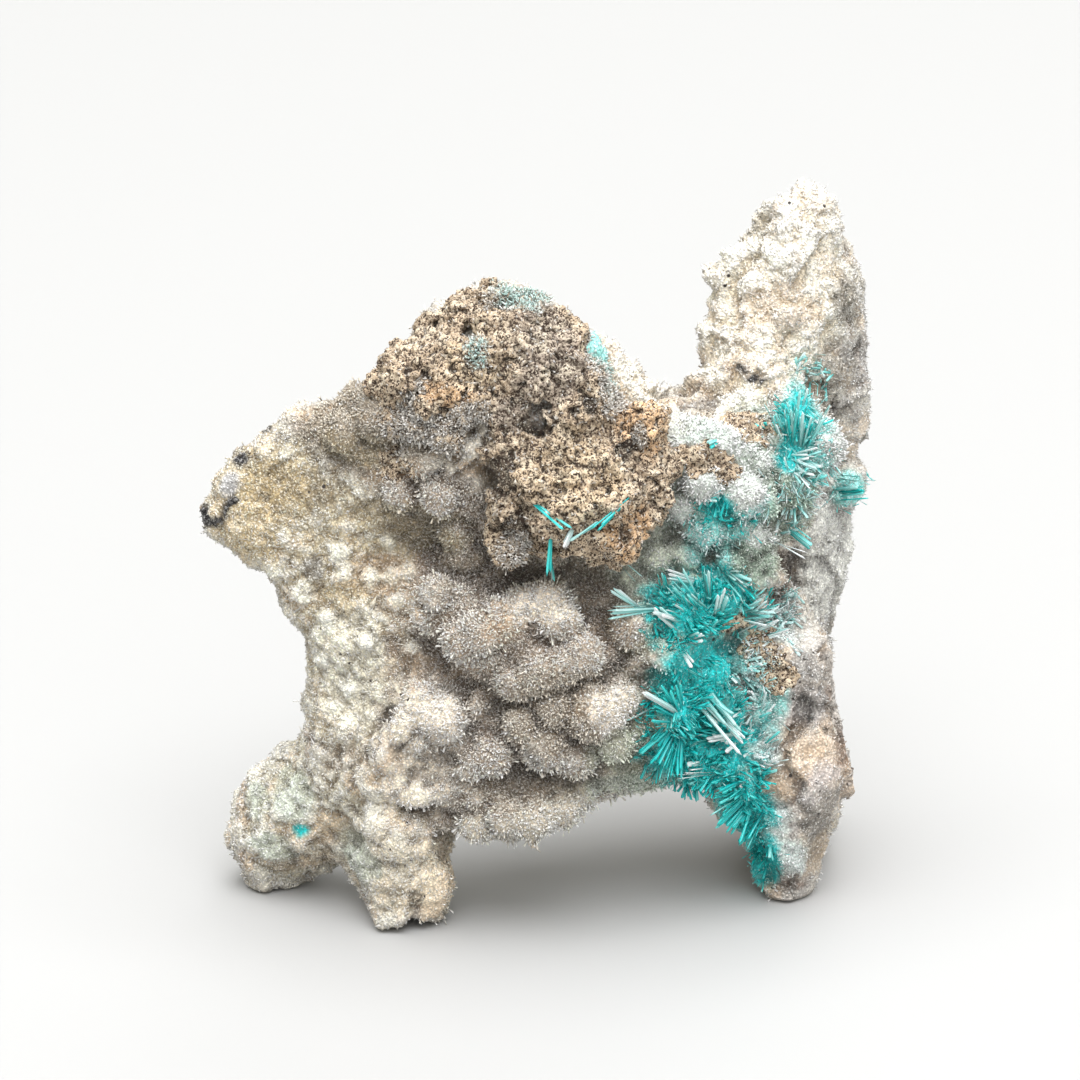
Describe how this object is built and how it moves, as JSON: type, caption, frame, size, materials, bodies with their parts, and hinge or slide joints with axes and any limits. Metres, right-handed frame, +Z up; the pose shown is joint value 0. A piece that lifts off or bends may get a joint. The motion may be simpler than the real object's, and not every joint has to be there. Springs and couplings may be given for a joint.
{
  "type": "hemimorphite specimen",
  "caption": "Natural hemimorphite specimen for display: a footed rock coated with pale druse, with a porous brown limonite cap and sprays of teal needles.",
  "frame": {"origin": "middle of the specimen's footprint, on the surface that it stands on", "axes": "+Z up, +X to the right seen from the front, the front with the teal sprays faces -Y"},
  "size_m": [0.058, 0.0344, 0.0594],
  "materials": {
    "druse": "sparkling fine translucent druse, white to pale olive and tan, over grey-brown matrix",
    "limonite": "dull porous earthy limonite, beige to dark brown",
    "teal_crystal": "glossy translucent teal needles, paler towards their tips"
  },
  "bodies": {
    "root": {"druse_rock": "druse", "limonite_cap": "limonite", "teal_spray_middle": "teal_crystal", "teal_spray_front": "teal_crystal", "teal_spray_shoulder": "teal_crystal", "teal_spray_knoll": "teal_crystal", "teal_spray_hollow": "teal_crystal", "teal_needles_left": "teal_crystal", "teal_needles_right": "teal_crystal"}
  },
  "joints": []
}
